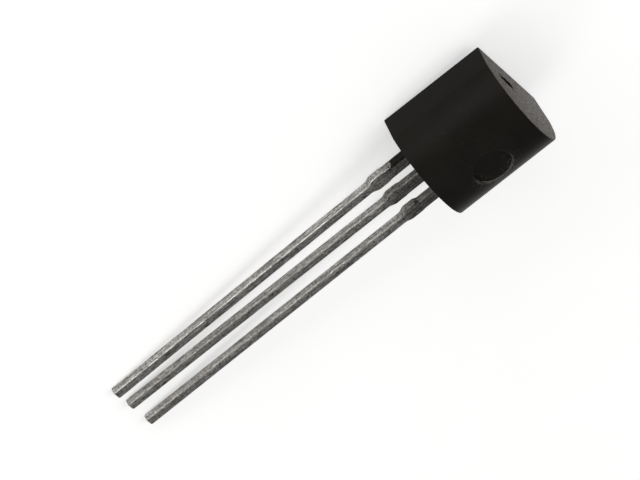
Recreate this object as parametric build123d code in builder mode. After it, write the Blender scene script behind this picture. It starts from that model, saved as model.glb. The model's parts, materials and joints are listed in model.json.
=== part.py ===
# A small plastic-moulded three-lead transistor in the TO-92 outline, lying flat side down.
# It rests as the real one does: on the lower edge of the flat and on the three lead tips.
# Package coordinates: x along the package axis towards the closed end, from the face that
# the leads leave; y across the leads; h is the height above the flat. All sizes in mm.
import math
import os

from build123d import *

# Moulded body
body_height = 4.49  # along the package axis
body_depth = 3.34  # from the flat to the crown of the round side
flat_width = 4.25
parting_width = 4.71  # across the parting line, the widest place
body_edge_radius = 0.06
crown_mark_radius = 0.81  # circle left by the ejector pin on the crown
crown_mark_depth = 0.17
crown_mark_x = 2.24
gate_scar_length = 0.80  # slot left by the gate on the closed end
gate_scar_width = 0.17
gate_scar_depth = 0.12
gate_scar_y = 0.90

# Leads outside the body
lead_pitch = 1.27
lead_length = 14.25
lead_width = 0.41
lead_thickness = 0.34
lead_edge_radius = 0.06
lead_lower_height = 1.19  # height of the leads' lower face above the flat
lead_lean = 0.8  # degrees, the tips stand away from the flat's plane
dam_start = 1.10  # the cut dam bar, measured from the body
dam_length = 0.58
taper_length = 0.26  # from the dam bar to the plain lead
dam_step = 0.07  # run over which the dam bar's stub rises from the shoulder
outline_radius = 0.06

# Lead frame inside the body
root_depth = 0.40  # how far the outer lead runs into the body
inner_width = 0.60
frame_gap = 0.25  # between the paddle and the posts beside and below it
paddle_end_wall = 0.80  # epoxy between the paddle and the closed end
emitter_post_end_wall = 1.80
base_post_start = 1.05
base_post_length = 0.55
base_post_width = 1.00
frame_corner_radius = 0.08

# Chip, its bonding layer and its wires
die_side = 0.50
die_thickness = 0.20
attach_margin = 0.05
attach_thickness = 0.03
pad_offset = 0.13  # bonding pads, from the chip's centre
wire_radius = 0.019
ball_radius = 0.045
ball_height = 0.03
stitch_radius = 0.04
stitch_height = 0.015
loop_height = 0.42
loop_bend_radius = 0.16

# Worked out from the sizes above
parting_height = lead_lower_height  # the mould parts on the lead frame's lower face
lead_mid_height = lead_lower_height + lead_thickness / 2
frame_top_height = lead_lower_height + lead_thickness
die_bottom_height = frame_top_height + attach_thickness
die_top_height = die_bottom_height + die_thickness
lean_angle = math.radians(lead_lean)


def tip_rounding_centre(side):
    """Centre (x, h) of the rounding at a lead tip: side -1 is its lower edge, +1 its upper."""
    along = lead_length - lead_edge_radius
    across = side * (lead_thickness / 2 - lead_edge_radius)
    x = -along * math.cos(lean_angle) + across * math.sin(lean_angle)
    h = lead_mid_height + along * math.sin(lean_angle) + across * math.cos(lean_angle)
    return x, h


def resting_tilt():
    """Angle at which the flat's rounded lower edge and the rounded tips touch one plane."""
    tip_x, tip_h = tip_rounding_centre(-1)
    run = body_edge_radius - tip_x
    rise = tip_h - body_edge_radius
    radius_step = lead_edge_radius - body_edge_radius
    return math.atan2(rise, run) - math.asin(radius_step / math.hypot(rise, run))


tilt = resting_tilt()


def turned(x, h):
    """A package point's X and Z once the package is tilted, before it is centred."""
    return x * math.cos(tilt) - h * math.sin(tilt), x * math.sin(tilt) + h * math.cos(tilt)


def package_origin():
    """Puts the origin of the frame at the bottom centre of the whole part's box."""
    highest_x = turned(body_height - body_edge_radius, body_edge_radius)[0] + body_edge_radius
    lowest_x = turned(*tip_rounding_centre(1))[0] - lead_edge_radius
    lowest_z = turned(body_edge_radius, body_edge_radius)[1] - body_edge_radius
    return -(highest_x + lowest_x) / 2, 0, -lowest_z


package = Plane(
    origin=package_origin(),
    x_dir=(math.cos(tilt), 0, math.sin(tilt)),
    z_dir=(-math.sin(tilt), 0, math.cos(tilt)),
)
lead_face = Plane(origin=package.origin, x_dir=package.y_dir, z_dir=package.x_dir)
closed_end = lead_face.offset(body_height)


def at(x, y, h):
    """World position of a package point."""
    return package.from_local_coords((x, y, h))


def level(h, x=0, y=0):
    """Plane parallel to the flat at height h, with its origin over x, y."""
    return Plane(origin=at(x, y, h), x_dir=package.x_dir, z_dir=package.z_dir)


def outer_lead(y, shoulder_width, left_stub, right_stub, tip_shift):
    """The part of a lead outside the body: shoulder, cut dam bar, taper and plain lead."""
    shoulder = shoulder_width / 2
    plain = lead_width / 2
    dam_end = dam_start + dam_length
    left_edge = [
        (root_depth, shoulder),
        (-dam_start, shoulder),
        (-dam_start - dam_step, shoulder + left_stub),
        (-dam_end, shoulder + left_stub),
        (-dam_end - taper_length, plain),
        (-lead_length, plain),
    ]
    right_edge = [
        (-lead_length, -plain),
        (-dam_end - taper_length, -plain),
        (-dam_end, -shoulder - right_stub),
        (-dam_start - dam_step, -shoulder - right_stub),
        (-dam_start, -shoulder),
        (root_depth, -shoulder),
    ]
    drop = lead_length * math.tan(lean_angle)
    to_body = (at(0, y, lead_mid_height) - at(-lead_length, y + tip_shift, lead_mid_height + drop))
    along = to_body.normalized()
    lead_plane = Plane(
        origin=at(0, y, lead_mid_height), x_dir=along, z_dir=along.cross(package.y_dir)
    )
    with BuildPart() as outer:
        with BuildSketch(lead_plane) as outline:
            with BuildLine():
                Polyline(*left_edge, *right_edge, close=True)
            make_face()
            fillet(outline.vertices(), radius=outline_radius)
        extrude(amount=lead_thickness / 2, both=True)
        broad_faces = outer.faces().sort_by(Axis(lead_plane.origin, lead_plane.z_dir))
        fillet(broad_faces[0].edges() + broad_faces[-1].edges(), radius=lead_edge_radius)
    return outer.part


def frame_sheet(*corners):
    """A stamped piece of the lead frame inside the body, given by its outline."""
    with BuildPart() as sheet:
        with BuildSketch(level(lead_mid_height)) as outline:
            with BuildLine():
                Polyline(*corners, close=True)
            make_face()
            fillet(outline.vertices(), radius=frame_corner_radius)
        extrude(amount=lead_thickness / 2, both=True)
    return sheet.part


def bond_wire(pad, post):
    """A looped wire from a ball on the chip's pad to a stitch on a post, both given as (x, y)."""
    start = at(*pad, die_top_height)
    across = at(*post, die_top_height) - start
    span = across.length
    fall = die_top_height - frame_top_height
    loop_plane = Plane(
        origin=start, x_dir=across, z_dir=across.normalized().cross(package.z_dir)
    )
    with BuildPart() as wire:
        with BuildLine(loop_plane) as path:
            FilletPolyline(
                (0, 0),
                (0, loop_height),
                (span, loop_height / 2),
                (span, -fall),
                radius=loop_bend_radius,
            )
        with BuildSketch(Plane(origin=start, z_dir=package.z_dir)):
            Circle(wire_radius)
        sweep(path=path.line)
        with BuildSketch(level(die_top_height, *pad)):
            Circle(ball_radius)
        extrude(amount=ball_height)
        with BuildSketch(level(frame_top_height, *post)):
            Circle(stitch_radius)
        extrude(amount=stitch_height)
    return wire.part


# Layout of the lead frame inside the body
inner = inner_width / 2
frame_root = root_depth / 2
strip_inner_edge = lead_pitch - inner
strip_outer_edge = lead_pitch + inner
base_post_end = base_post_start + base_post_length
emitter_post_end = body_height - emitter_post_end_wall
paddle_start = base_post_end + frame_gap
paddle_end = body_height - paddle_end_wall
paddle_edge = frame_gap - strip_inner_edge
die_x = (paddle_start + paddle_end) / 2
die_y = (paddle_edge + strip_inner_edge) / 2

# Collector lead: its strip runs up one side of the body and carries the chip's paddle.
collector_outer = outer_lead(
    y=lead_pitch, shoulder_width=0.61, left_stub=0.05, right_stub=0.04, tip_shift=-0.16
)
collector_frame = frame_sheet(
    (frame_root, strip_inner_edge),
    (paddle_start, strip_inner_edge),
    (paddle_start, paddle_edge),
    (paddle_end, paddle_edge),
    (paddle_end, strip_outer_edge),
    (frame_root, strip_outer_edge),
)
with BuildPart() as lead_collector:
    add(collector_outer)
    add(collector_frame)

# Base lead: the middle one, ending in a cross-bar below the paddle.
base_outer = outer_lead(
    y=0, shoulder_width=0.60, left_stub=0.05, right_stub=0.02, tip_shift=0.11
)
base_frame = frame_sheet(
    (frame_root, -inner),
    (base_post_start, -inner),
    (base_post_start, -base_post_width / 2),
    (base_post_end, -base_post_width / 2),
    (base_post_end, base_post_width / 2),
    (base_post_start, base_post_width / 2),
    (base_post_start, inner),
    (frame_root, inner),
)
with BuildPart() as lead_base:
    add(base_outer)
    add(base_frame)

# Emitter lead: a straight post beside the paddle.
emitter_outer = outer_lead(
    y=-lead_pitch, shoulder_width=0.54, left_stub=0.09, right_stub=0.03, tip_shift=0.05
)
emitter_frame = frame_sheet(
    (frame_root, -strip_outer_edge),
    (emitter_post_end, -strip_outer_edge),
    (emitter_post_end, -strip_inner_edge),
    (frame_root, -strip_inner_edge),
)
with BuildPart() as lead_emitter:
    add(emitter_outer)
    add(emitter_frame)

# Bonding layer and chip on the paddle
with BuildPart() as die_attach:
    with BuildSketch(level(frame_top_height, die_x, die_y)):
        Rectangle(die_side + 2 * attach_margin, die_side + 2 * attach_margin)
    extrude(amount=attach_thickness)

with BuildPart() as die:
    with BuildSketch(level(die_bottom_height, die_x, die_y)):
        Rectangle(die_side, die_side)
    extrude(amount=die_thickness)

# Wires from the chip's two pads to the posts
emitter_wire = bond_wire(
    pad=(die_x + pad_offset, die_y - pad_offset),
    post=(emitter_post_end - inner, -lead_pitch),
)
with BuildPart() as bond_wire_emitter:
    add(emitter_wire)

base_wire = bond_wire(
    pad=(die_x - pad_offset, die_y + pad_offset),
    post=((base_post_start + base_post_end) / 2, 0),
)
with BuildPart() as bond_wire_base:
    add(base_wire)

# Epoxy body, moulded round everything above
moulded_in = [lead_collector, lead_base, lead_emitter, die_attach, die]
moulded_in += [bond_wire_emitter, bond_wire_base]

with BuildPart() as epoxy_body:
    with BuildSketch(lead_face) as section:
        with BuildLine():
            flat = Line((-flat_width / 2, 0), (flat_width / 2, 0))
            right_side = Line(flat @ 1, (parting_width / 2, parting_height))
            crown = ThreePointArc(
                right_side @ 1, (0, body_depth), (-parting_width / 2, parting_height)
            )
            Line(crown @ 1, flat @ 0)
        make_face()
        fillet(section.vertices().group_by(Axis.Y)[0], radius=body_edge_radius)
    extrude(amount=body_height)
    ends = epoxy_body.faces().sort_by(Axis(package.origin, package.x_dir))
    fillet(ends[0].edges() + ends[-1].edges(), radius=body_edge_radius)
    with BuildSketch(level(body_depth - crown_mark_depth, crown_mark_x)):
        Circle(crown_mark_radius)
    extrude(amount=crown_mark_depth, mode=Mode.SUBTRACT)
    with BuildSketch(closed_end):
        with Locations((gate_scar_y, parting_height)):
            SlotOverall(gate_scar_length, gate_scar_width)
    extrude(amount=-gate_scar_depth, mode=Mode.SUBTRACT)
    for piece in moulded_in:
        add(piece.part, mode=Mode.SUBTRACT)

epoxy_body.part.label = "epoxy_body"
lead_collector.part.label = "lead_collector"
lead_base.part.label = "lead_base"
lead_emitter.part.label = "lead_emitter"
die_attach.part.label = "die_attach"
die.part.label = "die"
bond_wire_emitter.part.label = "bond_wire_emitter"
bond_wire_base.part.label = "bond_wire_base"

os.makedirs("parts", exist_ok=True)
for piece in [epoxy_body, *moulded_in]:
    export_step(piece.part, f"parts/{piece.part.label}.step")
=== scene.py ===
"""A TO-92 transistor lying on a pale floor: a moulded epoxy body and three tinned leads.

Lengths are in metres. Package coordinates: x along the package axis towards the closed end,
from the face that the leads leave, y across the leads, z the height above the flat. Pieces
are modelled in package coordinates and then set down on the floor with the package's tilt.
"""

import json
import math

import bpy
from mathutils import Matrix, Vector


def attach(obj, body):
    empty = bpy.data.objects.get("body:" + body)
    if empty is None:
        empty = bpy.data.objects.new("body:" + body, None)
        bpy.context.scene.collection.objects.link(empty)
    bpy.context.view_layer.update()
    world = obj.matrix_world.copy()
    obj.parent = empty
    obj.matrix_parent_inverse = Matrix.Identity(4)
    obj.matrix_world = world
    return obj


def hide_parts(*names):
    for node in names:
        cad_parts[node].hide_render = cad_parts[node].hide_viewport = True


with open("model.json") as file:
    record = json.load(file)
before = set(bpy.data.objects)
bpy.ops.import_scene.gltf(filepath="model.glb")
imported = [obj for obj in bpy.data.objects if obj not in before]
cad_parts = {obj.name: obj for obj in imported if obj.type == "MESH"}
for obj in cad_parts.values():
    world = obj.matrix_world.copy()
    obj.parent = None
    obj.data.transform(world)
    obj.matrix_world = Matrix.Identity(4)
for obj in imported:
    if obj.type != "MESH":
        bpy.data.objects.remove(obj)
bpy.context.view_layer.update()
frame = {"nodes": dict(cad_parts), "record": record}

MM = 0.001
NEARLY = 1e-7  # metres within which two points count as one

# Moulded body
BODY_HEIGHT = 4.49 * MM
BODY_DEPTH = 3.34 * MM
FLAT_WIDTH = 4.25 * MM
PARTING_WIDTH = 4.71 * MM
BODY_EDGE_RADIUS = 0.045 * MM
HAIR = 0.006 * MM  # the moulding stands this much inside the solid it takes the place of
CROWN_MARK_RADIUS = 0.81 * MM
CROWN_MARK_DEPTH = 0.17 * MM
CROWN_MARK_X = 2.24 * MM
CROWN_MARK_RIM_EASE = 0.016 * MM
PIN_EDGE_RADIUS = 0.02 * MM
GATE_SCAR_LENGTH = 0.86 * MM
GATE_SCAR_WIDTH = 0.24 * MM
GATE_SCAR_DEPTH = 0.06 * MM
GATE_SCAR_Y = 0.88 * MM
GATE_SCAR_FLARE = 1.7  # how much wider the scar is at its end near the middle of the body
GATE_SCAR_PINCH = 0.8  # and how much narrower at its other end
TORN_HALF_HEIGHT = 0.24 * MM

# Leads and lead frame
LEAD_PITCH = 1.27 * MM
LEAD_LENGTH = 14.25 * MM
LEAD_WIDTH = 0.41 * MM
LEAD_THICKNESS = 0.34 * MM
CRISP_EDGE_RADIUS = 0.055 * MM
WORN_EDGE_RADIUS = 0.085 * MM
LEAD_LOWER_HEIGHT = 1.19 * MM
LEAD_LEAN = math.radians(0.8)
DAM_START = 1.10 * MM
DAM_LENGTH = 0.58 * MM
TAPER_LENGTH = 0.26 * MM
DAM_STEP = 0.07 * MM
STEP_EASE = 0.03 * MM  # the coining of the dam bar softens its step by this much each way
INNER_WIDTH = 0.60 * MM
FRAME_GAP = 0.25 * MM
PADDLE_END_WALL = 0.80 * MM
EMITTER_POST_END_WALL = 1.80 * MM
BASE_POST_START = 1.05 * MM
BASE_POST_LENGTH = 0.55 * MM
BASE_POST_WIDTH = 1.00 * MM
OUTLINE_EASE = 0.04 * MM
DENT_DEPTH = 0.008 * MM
DENT_SIZE = 0.16 * MM
DENT_RING_SPACING = 0.10 * MM
DENT_RINGS = 139

PARTING_HEIGHT = LEAD_LOWER_HEIGHT
GATE_SCAR_HEIGHT = PARTING_HEIGHT - 0.06 * MM
LEAD_MID_HEIGHT = LEAD_LOWER_HEIGHT + LEAD_THICKNESS / 2


def package_frame():
    """The package's place on the floor, from the mount in the middle of its flat side."""
    mounts = {m["name"]: m for m in frame["record"]["mounts"]}
    flat = mounts["flat_side"]
    up = -Vector(flat["axis"]).normalized()
    along = Vector((0, 1, 0)).cross(up)
    origin = Vector(flat["pos_m"]) - along * BODY_HEIGHT / 2
    place = Matrix((along, (0, 1, 0), up)).transposed().to_4x4()
    place.translation = origin
    return place


PACKAGE = package_frame()
TILT = math.atan2(-PACKAGE[0][2], PACKAGE[2][2])


# ---------------------------------------------------------------- modelling helpers

def start_edit(kind="VERT", select="SELECT"):
    """Goes into edit mode on the active piece with all of it selected, or none of it."""
    bpy.ops.object.mode_set(mode="EDIT")
    bpy.ops.mesh.select_mode(type=kind)
    bpy.ops.mesh.select_all(action=select)


def choose(piece, kind, wanted):
    """Selects the vertices, edges or faces of a piece that the test accepts, and no others."""
    start_edit(kind, "DESELECT")
    bpy.ops.object.mode_set(mode="OBJECT")
    mesh = piece.data
    parts = {"VERT": mesh.vertices, "EDGE": mesh.edges, "FACE": mesh.polygons}[kind]
    for part in parts:
        part.select = bool(wanted(mesh, part))
    bpy.ops.object.mode_set(mode="EDIT")


def middle(mesh, part):
    """The mean of the corners of a face or edge."""
    return sum((mesh.vertices[i].co for i in part.vertices), Vector()) / len(part.vertices)


def only(piece):
    """Makes a piece the one selected and active object."""
    bpy.ops.object.select_all(action="DESELECT")
    piece.select_set(True)
    bpy.context.view_layer.objects.active = piece


def new_piece(name):
    """Names the primitive that was just added, and its mesh."""
    piece = bpy.context.object
    piece.name = name
    piece.data.name = name
    return piece


def fix_normals():
    """Turns the faces of the active piece outwards."""
    start_edit()
    bpy.ops.mesh.normals_make_consistent(inside=False)
    bpy.ops.object.mode_set(mode="OBJECT")


def apply_modifiers(piece):
    only(piece)
    for modifier in list(piece.modifiers):
        bpy.ops.object.modifier_apply(modifier=modifier.name)


def bevel_sharp_edges(piece, width, segments, angle):
    """Rounds every edge that turns by more than the angle, which is in degrees."""
    modifier = piece.modifiers.new("edge_rounding", "BEVEL")
    modifier.width = width
    modifier.segments = segments
    modifier.use_clamp_overlap = False
    modifier.limit_method = "ANGLE"
    modifier.angle_limit = math.radians(angle)
    apply_modifiers(piece)


def set_down(piece):
    """Turns a piece from package coordinates into its place on the floor."""
    only(piece)
    piece.matrix_world = PACKAGE @ piece.matrix_world
    bpy.ops.object.transform_apply(location=True, rotation=True, scale=True)


def cut_away(piece, cutter):
    """Takes the cutter's shape out of a piece, and removes the cutter."""
    modifier = piece.modifiers.new("cut", "BOOLEAN")
    modifier.operation = "DIFFERENCE"
    modifier.solver = "EXACT"
    modifier.object = cutter
    apply_modifiers(piece)
    bpy.data.objects.remove(cutter)


# ---------------------------------------------------------------- epoxy body

ROUND_SIDE_RISE = BODY_DEPTH - PARTING_HEIGHT
ROUND_RADIUS = ((PARTING_WIDTH / 2) ** 2 + ROUND_SIDE_RISE**2) / (2 * ROUND_SIDE_RISE)
ROUND_CENTRE_HEIGHT = BODY_DEPTH - ROUND_RADIUS


def crown_pin():
    """The end of the ejector pin, which leaves a flat-floored round recess on the crown."""
    floor = BODY_DEPTH - CROWN_MARK_DEPTH
    bpy.ops.object.select_all(action="DESELECT")
    pin_length = 1 * MM
    bpy.ops.mesh.primitive_cylinder_add(
        vertices=96, radius=CROWN_MARK_RADIUS, depth=pin_length,
        location=(CROWN_MARK_X, 0, floor + pin_length / 2),
    )
    pin = new_piece("crown_pin")
    bpy.ops.object.transform_apply(location=True, rotation=True, scale=True)
    bevel_sharp_edges(pin, PIN_EDGE_RADIUS, 3, 40)
    return pin


def gate_stub():
    """The torn gate, which leaves a narrow slot on the closed end."""
    bpy.ops.object.select_all(action="DESELECT")
    bpy.ops.mesh.primitive_cube_add(
        size=1, location=(BODY_HEIGHT, GATE_SCAR_Y, GATE_SCAR_HEIGHT),
        scale=(2 * GATE_SCAR_DEPTH, GATE_SCAR_LENGTH, GATE_SCAR_WIDTH),
    )
    stub = new_piece("gate_stub")
    bpy.ops.object.transform_apply(location=True, rotation=True, scale=True)
    centre = (BODY_HEIGHT, GATE_SCAR_Y, GATE_SCAR_HEIGHT)
    choose(stub, "VERT", lambda m, v: v.co.y < GATE_SCAR_Y)
    bpy.ops.transform.resize(value=(1, 1, GATE_SCAR_FLARE), center_override=centre)
    choose(stub, "VERT", lambda m, v: v.co.y > GATE_SCAR_Y)
    bpy.ops.transform.resize(value=(1, 1, GATE_SCAR_PINCH), center_override=centre)
    corner = 0.35 * GATE_SCAR_WIDTH

    def along_axis(mesh, edge):
        a, b = (mesh.vertices[i].co for i in edge.vertices)
        return abs(a.x - b.x) > GATE_SCAR_DEPTH

    choose(stub, "EDGE", along_axis)
    bpy.ops.mesh.bevel(offset=corner, segments=5, profile=0.5)
    bpy.ops.object.mode_set(mode="OBJECT")
    return stub


def model_body():
    """A cylinder cut along the parting plane, with the flat side drawn down from the cut."""
    bpy.ops.object.select_all(action="DESELECT")
    bpy.ops.mesh.primitive_cylinder_add(
        vertices=360, radius=ROUND_RADIUS - HAIR, depth=BODY_HEIGHT - 2 * HAIR,
        location=(BODY_HEIGHT / 2, 0, ROUND_CENTRE_HEIGHT), rotation=(0, math.pi / 2, 0),
    )
    body = new_piece("moulded_body")
    bpy.ops.object.transform_apply(location=True, rotation=True, scale=True)
    start_edit()
    bpy.ops.mesh.bisect(
        plane_co=(0, 0, PARTING_HEIGHT), plane_no=(0, 0, 1),
        clear_inner=True, use_fill=True, threshold=NEARLY,
    )
    bpy.ops.object.mode_set(mode="OBJECT")
    choose(body, "FACE", lambda m, f: abs(middle(m, f).z - PARTING_HEIGHT) < NEARLY)
    bpy.ops.mesh.extrude_region_move(
        TRANSFORM_OT_translate={"value": (0, 0, HAIR - PARTING_HEIGHT)}
    )
    bpy.ops.transform.resize(
        value=(1, FLAT_WIDTH / PARTING_WIDTH, 1), center_override=(BODY_HEIGHT / 2, 0, 0)
    )
    bpy.ops.mesh.select_all(action="SELECT")
    bpy.ops.mesh.dissolve_limited(angle_limit=math.radians(0.2))
    bpy.ops.object.mode_set(mode="OBJECT")
    fix_normals()
    bevel_sharp_edges(body, BODY_EDGE_RADIUS, 4, 30)
    cut_away(body, crown_pin())
    cut_away(body, gate_stub())
    only(body)
    start_edit()
    bpy.ops.mesh.remove_doubles(threshold=NEARLY)
    bpy.ops.object.mode_set(mode="OBJECT")
    fix_normals()

    def mark_rim(mesh, edge):
        ends = [mesh.vertices[i].co for i in edge.vertices]
        radii = [math.hypot(p.x - CROWN_MARK_X, p.y) for p in ends]
        heights = [math.hypot(p.y, p.z - ROUND_CENTRE_HEIGHT) for p in ends]
        on_rim = all(abs(r - CROWN_MARK_RADIUS) < 0.002 * MM for r in radii)
        return on_rim and all(h > ROUND_RADIUS - 0.004 * MM for h in heights)

    choose(body, "EDGE", mark_rim)
    bpy.ops.mesh.bevel(offset=CROWN_MARK_RIM_EASE, segments=3, profile=0.5)
    bpy.ops.object.mode_set(mode="OBJECT")
    bpy.ops.object.shade_smooth_by_angle(angle=math.radians(14))
    set_down(body)
    return body


# ---------------------------------------------------------------- leads

def ring_at(x):
    """Adds a loop of edges round the selected bar at x, by bisecting it."""
    bpy.ops.mesh.select_all(action="SELECT")
    bpy.ops.mesh.bisect(plane_co=(x, 0, 0), plane_no=(1, 0, 0), threshold=NEARLY)


def side_to(piece, x, y_middle, side, y_target):
    """Moves one side's vertices at x so that they stand at y_target."""
    near = 1e-6

    def on_side(mesh, vertex):
        return abs(vertex.co.x - x) < near and (vertex.co.y - y_middle) * side > 0

    choose(piece, "VERT", on_side)
    bpy.ops.object.mode_set(mode="OBJECT")
    here = next(v.co.y for v in piece.data.vertices if v.select)
    bpy.ops.object.mode_set(mode="EDIT")
    bpy.ops.transform.translate(value=(0, y_target - here, 0))
    bpy.ops.object.mode_set(mode="OBJECT")


def lead_bar(name, y, shoulder_width, left_stub, right_stub, inner_end):
    """A plain bar given the lead's widths station by station, from its tip to inner_end."""
    length = LEAD_LENGTH + inner_end
    bpy.ops.object.select_all(action="DESELECT")
    bpy.ops.mesh.primitive_cube_add(
        size=1, location=(inner_end - length / 2, y, LEAD_MID_HEIGHT),
        scale=(length, LEAD_WIDTH, LEAD_THICKNESS),
    )
    lead = new_piece(name)
    bpy.ops.object.transform_apply(location=True, rotation=True, scale=True)
    dam_end = DAM_START + DAM_LENGTH
    shoulder = shoulder_width / 2
    inner = INNER_WIDTH / 2
    stations = [
        (0.2 * MM, inner, inner),
        (0.0, shoulder, shoulder),
        (-DAM_START + STEP_EASE, shoulder, shoulder),
        (-DAM_START - DAM_STEP - STEP_EASE, shoulder + left_stub, shoulder + right_stub),
        (-dam_end, shoulder + left_stub, shoulder + right_stub),
        (-dam_end - TAPER_LENGTH, LEAD_WIDTH / 2, LEAD_WIDTH / 2),
    ]
    start_edit()
    for x, _, _ in stations:
        ring_at(x)
    bpy.ops.object.mode_set(mode="OBJECT")
    for x, left, right in [(inner_end, inner, inner)] + stations:
        side_to(lead, x, y, 1, y + left)
        side_to(lead, x, y, -1, y - right)
    return lead


def lean_and_splay(lead, y, tip_shift):
    """Leans the lead outside the body away from the flat, and turns it a little sideways."""
    splay = math.atan2(tip_shift, LEAD_LENGTH)
    root = (0, y, LEAD_MID_HEIGHT)
    choose(lead, "VERT", lambda m, v: v.co.x < 0)
    bpy.ops.transform.rotate(value=splay, orient_axis="Z", center_override=root)
    bpy.ops.transform.rotate(value=-LEAD_LEAN, orient_axis="Y", center_override=root)
    bpy.ops.object.mode_set(mode="OBJECT")


def round_outline(lead):
    """Rounds the corners of the stamped outline, which are the upright edges at the stations."""

    def upright_corner(mesh, edge):
        a, b = (mesh.vertices[i].co for i in edge.vertices)
        upright = abs(a.z - b.z) > 0.9 * LEAD_THICKNESS
        return upright and -LEAD_LENGTH < a.x - 0.01 * MM and a.x < -0.5 * DAM_START

    choose(lead, "EDGE", upright_corner)
    bpy.ops.mesh.bevel(offset=OUTLINE_EASE, segments=3, profile=0.5)
    bpy.ops.object.mode_set(mode="OBJECT")


def rough_up(lead, edge_radius, seed):
    """Rounds the long edges and leaves the plating slightly uneven, only ever inwards."""
    bevel_sharp_edges(lead, edge_radius, 4, 60)
    start_edit()
    for step in range(DENT_RINGS):
        ring_at(-LEAD_LENGTH + (step + 1) * DENT_RING_SPACING)
    bpy.ops.object.mode_set(mode="OBJECT")
    dents = bpy.data.textures.new(f"dents_{seed}", "CLOUDS")
    dents.noise_scale = DENT_SIZE
    dents.noise_depth = 2
    modifier = lead.modifiers.new("dents", "DISPLACE")
    modifier.texture = dents
    modifier.texture_coords = "LOCAL"
    modifier.strength = DENT_DEPTH
    modifier.mid_level = 1.0
    apply_modifiers(lead)


def merge_flat_faces():
    """Joins the faces of the active piece that lie in one plane."""
    start_edit()
    bpy.ops.mesh.dissolve_limited(angle_limit=math.radians(0.5))
    bpy.ops.object.mode_set(mode="OBJECT")


def finish_lead(lead, y, tip_shift, edge_radius, seed):
    merge_flat_faces()
    fix_normals()
    round_outline(lead)
    rough_up(lead, edge_radius, seed)
    lean_and_splay(lead, y, tip_shift)
    only(lead)
    bpy.ops.object.shade_smooth_by_angle(angle=math.radians(40))
    set_down(lead)
    return lead


def model_emitter_lead():
    end = BODY_HEIGHT - EMITTER_POST_END_WALL
    lead = lead_bar("emitter_lead", -LEAD_PITCH, 0.54 * MM, 0.09 * MM, 0.03 * MM, end)
    return finish_lead(lead, -LEAD_PITCH, 0.05 * MM, WORN_EDGE_RADIUS, 1)


def model_base_lead():
    """The middle lead ends in a cross-bar, drawn out of its inner end."""
    lead = lead_bar("base_lead", 0, 0.60 * MM, 0.05 * MM, 0.02 * MM, BASE_POST_START)
    choose(lead, "FACE", lambda m, f: middle(m, f).x > BASE_POST_START - NEARLY)
    first_step = 0.001 * MM
    bpy.ops.mesh.extrude_region_move(TRANSFORM_OT_translate={"value": (first_step, 0, 0)})
    widen = BASE_POST_WIDTH / INNER_WIDTH
    bpy.ops.transform.resize(value=(1, widen, 1), center_override=(0, 0, 0))
    bpy.ops.mesh.extrude_region_move(
        TRANSFORM_OT_translate={"value": (BASE_POST_LENGTH - first_step, 0, 0)}
    )
    bpy.ops.object.mode_set(mode="OBJECT")
    return finish_lead(lead, 0, 0.11 * MM, WORN_EDGE_RADIUS, 2)


def model_collector_lead():
    """The collector's strip carries the chip's paddle, drawn out of its inner side."""
    paddle_end = BODY_HEIGHT - PADDLE_END_WALL
    paddle_start = BASE_POST_START + BASE_POST_LENGTH + FRAME_GAP
    lead = lead_bar("collector_lead", LEAD_PITCH, 0.61 * MM, 0.05 * MM, 0.04 * MM, paddle_end)
    start_edit()
    ring_at(paddle_start)
    bpy.ops.object.mode_set(mode="OBJECT")
    strip_inner_edge = LEAD_PITCH - INNER_WIDTH / 2

    def paddle_side(mesh, face):
        m = middle(mesh, face)
        return m.x > paddle_start and abs(m.y - strip_inner_edge) < NEARLY

    choose(lead, "FACE", paddle_side)
    reach = FRAME_GAP - 2 * strip_inner_edge
    bpy.ops.mesh.extrude_region_move(TRANSFORM_OT_translate={"value": (0, reach, 0)})
    bpy.ops.object.mode_set(mode="OBJECT")
    return finish_lead(lead, LEAD_PITCH, -0.16 * MM, CRISP_EDGE_RADIUS, 3)


# ---------------------------------------------------------------- materials

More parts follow.
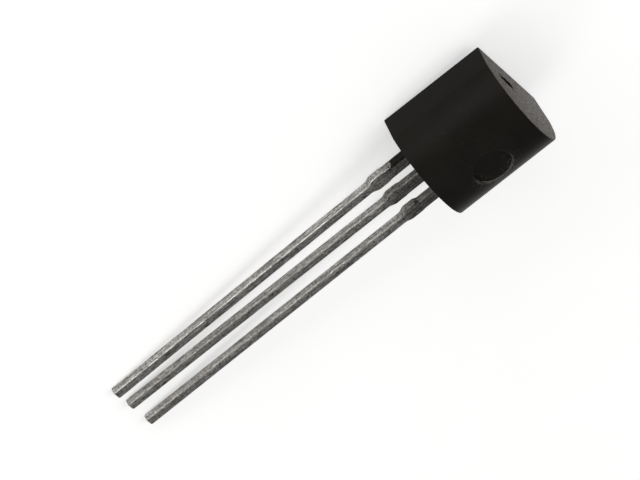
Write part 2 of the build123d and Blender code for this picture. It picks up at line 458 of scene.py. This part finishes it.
class Nodes:
    """Builds one material's node tree with short calls."""

    def __init__(self, name):
        self.material = bpy.data.materials.new(name)
        self.material.use_nodes = True
        self.tree = self.material.node_tree
        self.shader = self.tree.nodes["Principled BSDF"]
        coordinates = self.add("ShaderNodeTexCoord")
        mapping = self.add("ShaderNodeMapping")
        mapping.vector_type = "TEXTURE"
        mapping.inputs["Location"].default_value = PACKAGE.translation
        mapping.inputs["Rotation"].default_value = (0, -TILT, 0)
        self.link(coordinates.outputs["Object"], mapping.inputs["Vector"])
        self.package = mapping.outputs["Vector"]

    def add(self, kind):
        return self.tree.nodes.new(kind)

    def link(self, source, target):
        self.tree.links.new(source, target)

    def place(self):
        """The package coordinates one by one: outputs "X", "Y" and "Z"."""
        node = self.add("ShaderNodeSeparateXYZ")
        self.link(self.package, node.inputs[0])
        return node.outputs

    def stretched(self, scale):
        """Package coordinates scaled differently along and across the lead."""
        node = self.add("ShaderNodeMapping")
        node.inputs["Scale"].default_value = scale
        self.link(self.package, node.inputs["Vector"])
        return node.outputs["Vector"]

    def noise(self, scale, detail=4.0, roughness=0.5, vector=None):
        node = self.add("ShaderNodeTexNoise")
        node.inputs["Scale"].default_value = scale
        node.inputs["Detail"].default_value = detail
        node.inputs["Roughness"].default_value = roughness
        self.link(vector or self.package, node.inputs["Vector"])
        return node.outputs["Fac"]

    def ramp(self, source, *stops):
        """A colour ramp: each stop is a position and a grey level or a colour."""
        node = self.add("ShaderNodeValToRGB")
        elements = node.color_ramp.elements
        while len(elements) < len(stops):
            elements.new(0.5)
        for element, (position, value) in zip(elements, stops):
            colour = (value, value, value) if isinstance(value, float) else value
            element.position = position
            element.color = (*colour, 1)
        self.link(source, node.inputs["Fac"])
        return node.outputs["Color"]

    def math(self, operation, a, b=None):
        node = self.add("ShaderNodeMath")
        node.operation = operation
        for socket, value in zip(node.inputs, (a, b)):
            if value is None:
                continue
            if isinstance(value, float):
                socket.default_value = value
            else:
                self.link(value, socket)
        return node.outputs[0]

    def limit(self, source, low, high):
        return self.math("MINIMUM", self.math("MAXIMUM", source, low), high)

    def mix(self, factor, a, b, blend="MIX"):
        """Mixes two colours. The node's sockets 0, 6 and 7 are its factor and its two colours."""
        node = self.add("ShaderNodeMix")
        node.data_type = "RGBA"
        node.blend_type = blend
        for index, value in ((0, factor), (6, a), (7, b)):
            socket = node.inputs[index]
            if isinstance(value, tuple):
                socket.default_value = (*value, 1)
            elif isinstance(value, float):
                socket.default_value = value
            else:
                self.link(value, socket)
        return node.outputs[2]

    def bump(self, height, distance, strength=1.0, normal=None):
        node = self.add("ShaderNodeBump")
        node.inputs["Strength"].default_value = strength
        node.inputs["Distance"].default_value = distance
        self.link(height, node.inputs["Height"])
        if normal is not None:
            self.link(normal, node.inputs["Normal"])
        return node.outputs["Normal"]

    def out(self, **sockets):
        """Sets or links the shader's sockets, named with _ for a space."""
        for name, value in sockets.items():
            socket = self.shader.inputs[name.replace("_", " ")]
            if isinstance(value, float):
                socket.default_value = value
            else:
                self.link(value, socket)
        return self.material


def distance_from_rim(n, place):
    """How far a point on the crown is from the ejector mark's rim, seen from above.

    Points below the parting plane get a metre more, which keeps them out of any pattern.
    """
    along = n.math("SUBTRACT", place["X"], CROWN_MARK_X)
    squared = n.math("ADD", n.math("MULTIPLY", along, along),
                     n.math("MULTIPLY", place["Y"], place["Y"]))
    from_rim = n.math("ABSOLUTE", n.math("SUBTRACT", n.math("SQRT", squared), CROWN_MARK_RADIUS))
    below = n.math("LESS_THAN", place["Z"], PARTING_HEIGHT)
    return n.math("ADD", from_rim, below)


def torn_gate(n, place):
    """1 over the ragged patch where the gate broke off round its scar, and 0 elsewhere."""
    across = n.math("ABSOLUTE", n.math("SUBTRACT", place["Y"], GATE_SCAR_Y))
    across = n.math("MULTIPLY", across, 1 / (0.60 * GATE_SCAR_LENGTH))
    upright = n.math("ABSOLUTE", n.math("SUBTRACT", place["Z"], GATE_SCAR_HEIGHT))
    upright = n.math("MULTIPLY", upright, 1 / TORN_HALF_HEIGHT)
    ragged = n.math("MULTIPLY", n.math("SUBTRACT", n.noise(7000.0, 4.0, 0.7), 0.5), 2.6)
    reach = n.math("ADD", n.math("MAXIMUM", across, upright), ragged)
    return n.math("LESS_THAN", reach, 0.85)


def rim_highlight_and_chips(n, place, grain):
    """How much of the painted highlight shows: a broken painted highlight line on the mark's rim,
    and pale chips beside it.

    The line is 0.024 mm wide each way, the chips reach 0.4 mm from it, and both fade out
    towards the +Y side of the mark.
    """
    from_rim = distance_from_rim(n, place)
    on_rim = n.math("LESS_THAN", from_rim, 0.024 * MM)
    side = n.math("MULTIPLY", n.math("SUBTRACT", 0.45 * MM, place["Y"]), 1 / (0.7 * MM))
    side = n.limit(side, 0.1, 1.0)
    broken = n.ramp(n.noise(5500.0, 3.0, 0.6), (0.38, 0.15), (0.54, 1.0))
    line = n.math("MULTIPLY", on_rim, n.math("MULTIPLY", broken, side))
    closeness = n.math("SUBTRACT", 1.0, n.math("MULTIPLY", from_rim, 1 / (0.40 * MM)))
    closeness = n.math("MULTIPLY", n.math("MAXIMUM", closeness, 0.0), side)
    chips = n.math("MULTIPLY", n.ramp(grain, (0.57, 0.0), (0.62, 0.8)), closeness)
    return n.math("MAXIMUM", line, chips)


def epoxy_material():
    """Black moulding compound: fine silica grain, a satin skin and a few pale specks.

    The closed end has the coarser, mottled grain of a mould face worn by erosion, painted much
    lighter than the rest as a painted reflection of the floor, and is torn matt round the gate.
    The half below the parting plane is painted darker as painted shade, and the ejector mark's rim
    carries a painted highlight on one side, with pale chips beside it.
    """
    n = Nodes("black_epoxy")
    place = n.place()
    cloudy = n.noise(700.0, 5.0, 0.6)
    grain = n.noise(16000.0, 3.0, 0.7)

    tone = n.ramp(cloudy, (0.30, (0.0080, 0.0070, 0.0056)), (0.72, (0.0120, 0.0104, 0.0084)))
    speck = n.ramp(grain, (0.66, 0.0), (0.74, 1.0))
    skin = n.mix(n.math("MULTIPLY", speck, 0.5), tone, (0.075, 0.070, 0.062))
    # Painted shade: the half below the parting plane is darkened, standing in for the shaded floor
    # beside the body that this facet reflects.
    lower_half = n.math("LESS_THAN", place["Z"], PARTING_HEIGHT)
    skin = n.mix(n.math("MULTIPLY", lower_half, 0.55), skin, (0.0, 0.0, 0.0))

    # Closed end: the mottled grain of a mould face worn by erosion, painted far lighter than the
    # body's skin as a painted reflection of the floor; the torn patch round the gate is mixed back
    # towards the dark epoxy colour.
    erosion = n.noise(22000.0, 3.0, 0.7)
    end_grain_and_reflection = n.ramp(erosion, (0.38, (0.026, 0.021, 0.015)), (0.62, (0.135, 0.113, 0.088)))
    mottle = n.noise(8000.0, 4.0, 0.75)
    end_grain_and_reflection = n.mix(1.0, end_grain_and_reflection, n.ramp(mottle, (0.38, 0.55), (0.60, 1.0)), "MULTIPLY")
    torn = n.math("MULTIPLY", torn_gate(n, place), 0.75)
    end_grain_and_reflection = n.mix(torn, end_grain_and_reflection, (0.016, 0.0135, 0.0105))
    closed_end = n.math("GREATER_THAN", place["X"], BODY_HEIGHT - 0.02 * MM)
    colour = n.mix(closed_end, skin, end_grain_and_reflection)
    # Painted highlight along one side of the ejector mark's rim, with pale chips beside it.
    colour = n.mix(rim_highlight_and_chips(n, place, grain), colour, (0.125, 0.117, 0.105))

    rough = n.ramp(cloudy, (0.25, 0.40), (0.75, 0.50))
    end_rough = n.ramp(mottle, (0.40, 0.58), (0.58, 0.33))
    end_rough = n.mix(torn, end_rough, (1.0, 1.0, 1.0))
    rough = n.mix(closed_end, rough, end_rough)
    fine = n.bump(n.noise(9000.0, 4.0, 0.6), 0.004 * MM, 0.5)
    normal = n.bump(n.math("MULTIPLY", grain, closed_end), 0.012 * MM, 0.8, fine)
    return n.out(Base_Color=colour, Roughness=rough, Normal=normal, Specular_IOR_Level=0.075)


def facing(n):
    """How squarely the surface faces away from or towards the flat, and how squarely sideways."""
    surface = n.add("ShaderNodeNewGeometry")
    upright = n.add("ShaderNodeVectorMath")
    upright.operation = "DOT_PRODUCT"
    upright.inputs[1].default_value = (-math.sin(TILT), 0, math.cos(TILT))
    n.link(surface.outputs["Normal"], upright.inputs[0])
    parts = n.add("ShaderNodeSeparateXYZ")
    n.link(surface.outputs["Normal"], parts.inputs[0])
    return upright.outputs["Value"], parts.outputs["Y"]


def darkened_lead_roots(n, place, patches, collector, colour):
    """Darkens the lead roots with painted shade, standing in for the body's shadow and dark
    reflection on them.

    The painted shade fades out between 1.5 and 2.2 mm from the body, and 0.7 mm sooner on the
    collector lead, which also gets a ragged black patch on its outer side within 0.85 mm of the
    body.
    """
    # Painted shade on the lead roots near the body, broken up by noise.
    ragged = n.math("MULTIPLY", n.math("SUBTRACT", patches, 0.5), 1.6 * MM)
    from_body = n.math("ADD", place["X"], ragged)
    reach = n.math("SUBTRACT", 2.2 * MM, n.math("MULTIPLY", collector, 0.7 * MM))
    root_shade = n.math("MULTIPLY", n.math("ADD", from_body, reach), 1 / (1.0 * MM))
    root_shade = n.limit(root_shade, 0.0, 0.72)
    shade_breakup = n.ramp(n.noise(4500.0, 4.0, 0.7), (0.40, 0.72), (0.60, 1.0))
    colour = n.mix(n.math("MULTIPLY", root_shade, shade_breakup), colour, (0.035, 0.033, 0.029))

    # A ragged black patch on the collector lead's outer side, within 0.85 mm of the body.
    tongue = n.math("MULTIPLY", n.math("SUBTRACT", n.noise(3600.0, 3.0, 0.6), 0.5), 0.5 * MM)
    across = n.math("ADD", place["Y"], tongue)
    outer_side = n.math("GREATER_THAN", across, LEAD_PITCH + 0.20 * MM)
    near_body = n.math("GREATER_THAN", from_body, -0.85 * MM)
    root_patch = n.math("MULTIPLY", outer_side, near_body)
    return n.mix(root_patch, colour, (0.014, 0.013, 0.011))


def tin_material():
    """Dull tin plating: drawn scratches along the lead, pits, and nicks in the broad faces.

    Painted highlights lie along the edges, the collector lead's most of all, and painted glints on
    scattered spots.
    """
    n = Nodes("dull_tin")
    place = n.place()
    scratches = n.noise(1.0, 5.0, 0.75, n.stretched((1000.0, 16000.0, 16000.0)))
    patches = n.noise(2600.0, 5.0, 0.65)
    grain = n.noise(11000.0, 5.0, 0.8)
    upright, sideways = facing(n)
    broad = n.ramp(n.math("ABSOLUTE", upright), (0.55, 0.0), (0.85, 1.0))
    edge = n.math("MINIMUM", n.math("ABSOLUTE", upright), n.math("ABSOLUTE", sideways))
    collector = n.math("GREATER_THAN", place["Y"], LEAD_PITCH / 2)

    plated = n.ramp(scratches, (0.39, (0.22, 0.211, 0.196)), (0.61, (0.76, 0.74, 0.705)))
    worn = n.mix(n.ramp(patches, (0.46, 0.0), (0.66, 0.6)), plated, (0.40, 0.386, 0.362))
    fine = n.ramp(n.noise(12500.0, 3.0, 0.9), (0.38, 0.42), (0.62, 1.0))
    worn = n.mix(1.0, worn, fine, "MULTIPLY")
    pits = n.ramp(grain, (0.42, 1.0), (0.52, 0.0))
    pits = n.math("MULTIPLY", pits, n.math("ADD", 0.55, n.math("MULTIPLY", broad, 0.05)))
    colour = n.mix(pits, worn, (0.06, 0.056, 0.05))
    nicks = n.noise(1.0, 4.0, 0.75, n.stretched((3200.0, 7500.0, 7500.0)))
    nicks = n.math("MULTIPLY", n.ramp(nicks, (0.36, 0.85), (0.43, 0.0)), broad)
    colour = n.mix(nicks, colour, (0.020, 0.0185, 0.016))

    # Painted highlight along the rounded edges, strongest on the collector lead, and painted
    # glints on scattered spots, more on the broad faces.
    edge_highlight = n.math("MULTIPLY", n.ramp(edge, (0.30, 0.0), (0.50, 1.0)),
                     n.ramp(patches, (0.40, 0.2), (0.55, 1.0)))
    edge_highlight = n.math("MULTIPLY", edge_highlight, n.math("ADD", 0.2, n.math("MULTIPLY", collector, 0.8)))
    glint_spots = n.ramp(n.noise(8500.0, 4.0, 0.8), (0.60, 0.0), (0.66, 1.0))
    painted_shine = n.math("MAXIMUM", edge_highlight, n.math("MULTIPLY", glint_spots, n.math("ADD", 0.25, broad)))
    painted_shine = n.math("MINIMUM", painted_shine, 1.0)
    colour = n.mix(painted_shine, colour, (0.82, 0.81, 0.79))
    # Painted shade at the lead roots.
    colour = darkened_lead_roots(n, place, patches, collector, colour)

    dull = n.ramp(patches, (0.30, 0.34), (0.70, 0.56))
    rough = n.mix(painted_shine, dull, (0.24, 0.24, 0.24))
    coarse = n.bump(scratches, 0.012 * MM, 0.8)
    normal = n.bump(grain, 0.014 * MM, 0.9, coarse)
    return n.out(Base_Color=colour, Metallic=1.0, Roughness=rough, Normal=normal)


def inner_material(name, low, high, scale, rough_low, rough_high, metallic):
    """Finish of a sealed inner piece: mottled colour, uneven gloss and a fine grain."""
    n = Nodes(name)
    mottle = n.noise(scale, 4.0, 0.6)
    colour = n.ramp(mottle, (0.3, low), (0.7, high))
    rough = n.ramp(mottle, (0.3, rough_low), (0.7, rough_high))
    normal = n.bump(n.noise(4 * scale), 0.001 * MM, 0.4)
    return n.out(Base_Color=colour, Metallic=metallic, Roughness=rough, Normal=normal)


# ---------------------------------------------------------------- stage, camera and light

VIEW_AZIMUTH = math.radians(172.71)
VIEW_ELEVATION = math.radians(41.13)
VIEW_ROLL = math.radians(-143.06)
VIEW_DISTANCE = 423 * MM
VIEW_LENS = 642.3
VIEW_CENTRE = (-4.66 * MM, 0.68 * MM, 1.45 * MM)
EYE_LINE_START = (0, 0, 1.1 * MM)
LAMP_DISTANCE = 0.6
FLOOR_GLOW = 0.50
WORLD_LEVEL = 0.32


def direction(azimuth, elevation):
    """Unit vector from the object towards a viewer or lamp at that azimuth and elevation."""
    across = math.cos(elevation)
    return Vector((math.sin(azimuth) * across, -math.cos(azimuth) * across, math.sin(elevation)))


def add_camera():
    """A long lens, rolled so that the package lies across the view from corner to corner."""
    toward = direction(VIEW_AZIMUTH, VIEW_ELEVATION)
    eye = PACKAGE @ Vector(EYE_LINE_START) + toward * VIEW_DISTANCE
    look_at = PACKAGE @ Vector(VIEW_CENTRE)
    bpy.ops.object.camera_add()
    camera = bpy.context.object
    camera.name = "camera"
    aim = (look_at - eye).normalized()
    level_right = aim.cross(Vector((0, 0, 1))).normalized()
    level_up = level_right.cross(aim)
    up = level_up * math.cos(VIEW_ROLL) + level_right * math.sin(VIEW_ROLL)
    right = aim.cross(up)
    camera.matrix_world = Matrix.Translation(eye) @ Matrix(
        (right, up, -aim)
    ).transposed().to_4x4()
    camera.data.lens = VIEW_LENS
    camera.data.sensor_width = 36
    camera.data.clip_start = 0.01
    camera.data.clip_end = 10
    bpy.context.scene.camera = camera


def soft_box(name, azimuth, elevation, width, height, radiance):
    """A rectangular lamp facing the object, bright enough to be seen at that radiance."""
    bpy.ops.object.light_add(type="AREA")
    lamp = bpy.context.object
    lamp.name = name
    toward = direction(math.radians(azimuth), math.radians(elevation))
    lamp.location = toward * LAMP_DISTANCE
    lamp.rotation_mode = "QUATERNION"
    lamp.rotation_quaternion = toward.to_track_quat("Z", "Y")
    lamp.data.shape = "RECTANGLE"
    lamp.data.size = width
    lamp.data.size_y = height
    lamp.data.energy = radiance * math.pi * width * height
    lamp.data.color = (1.0, 0.985, 0.965)


def add_floor():
    """White floor that takes the object's shadow and glows only for the camera and reflections."""
    bpy.ops.object.select_all(action="DESELECT")
    bpy.ops.mesh.primitive_plane_add(size=3)
    floor = new_piece("floor")
    n = Nodes("floor_white")
    paper = n.noise(300.0)
    shade = n.ramp(paper, (0.0, 0.86), (1.0, 0.90))
    n.out(Base_Color=shade, Roughness=0.9, Specular_IOR_Level=0.0)
    path = n.add("ShaderNodeLightPath")
    seen = n.math("MAXIMUM", path.outputs["Is Camera Ray"], path.outputs["Is Glossy Ray"])
    seen = n.math("MAXIMUM", seen, path.outputs["Is Transmission Ray"])
    glow = n.add("ShaderNodeEmission")
    glow.inputs["Color"].default_value = (1, 1, 1, 1)
    n.link(n.math("MULTIPLY", seen, FLOOR_GLOW), glow.inputs["Strength"])
    both = n.add("ShaderNodeAddShader")
    n.link(n.shader.outputs[0], both.inputs[0])
    n.link(glow.outputs[0], both.inputs[1])
    n.link(both.outputs[0], n.tree.nodes["Material Output"].inputs["Surface"])
    floor.data.materials.append(n.material)


def add_world():
    world = bpy.data.worlds.new("studio")
    bpy.context.scene.world = world
    world.use_nodes = True
    background = world.node_tree.nodes["Background"]
    background.inputs["Color"].default_value = (1, 1, 1, 1)
    background.inputs["Strength"].default_value = WORLD_LEVEL


# ---------------------------------------------------------------- putting it together

def dress(piece, material):
    """Gives a piece one material and no other."""
    piece.data.materials.clear()
    piece.data.materials.append(material)


epoxy = epoxy_material()
tin = tin_material()
new_pieces = [
    (model_body(), epoxy, "epoxy_body", "epoxy_moulding"),
    (model_collector_lead(), tin, "lead_collector", "tinned_lead"),
    (model_base_lead(), tin, "lead_base", "tinned_lead"),
    (model_emitter_lead(), tin, "lead_emitter", "tinned_lead"),
]
for piece, material, node, slot in new_pieces:
    dress(piece, material)
    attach(piece, "root")
    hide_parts(node)

silicon = inner_material(
    "silicon", (0.02, 0.022, 0.03), (0.05, 0.055, 0.07), 3000.0, 0.15, 0.3, 0.3
)
silver_paste = inner_material(
    "silver_paste", (0.40, 0.39, 0.37), (0.62, 0.60, 0.57), 9000.0, 0.45, 0.65, 0.9
)
gold = inner_material(
    "gold_wire", (0.70, 0.45, 0.14), (0.86, 0.60, 0.24), 20000.0, 0.2, 0.35, 1.0
)
inner_finishes = {
    "die": silicon,
    "die_attach": silver_paste,
    "bond_wire_emitter": gold,
    "bond_wire_base": gold,
}
for node, material in inner_finishes.items():
    dress(frame["nodes"][node], material)

add_floor()
add_world()
add_camera()
soft_box("key_box", 180, 12, 0.9, 0.24, 3.0)
soft_box("end_fill", 90, 50, 0.35, 0.35, 1.2)
soft_box("lead_fill", 270, 50, 0.35, 0.35, 1.2)
bpy.context.scene.view_settings.view_transform = "Standard"
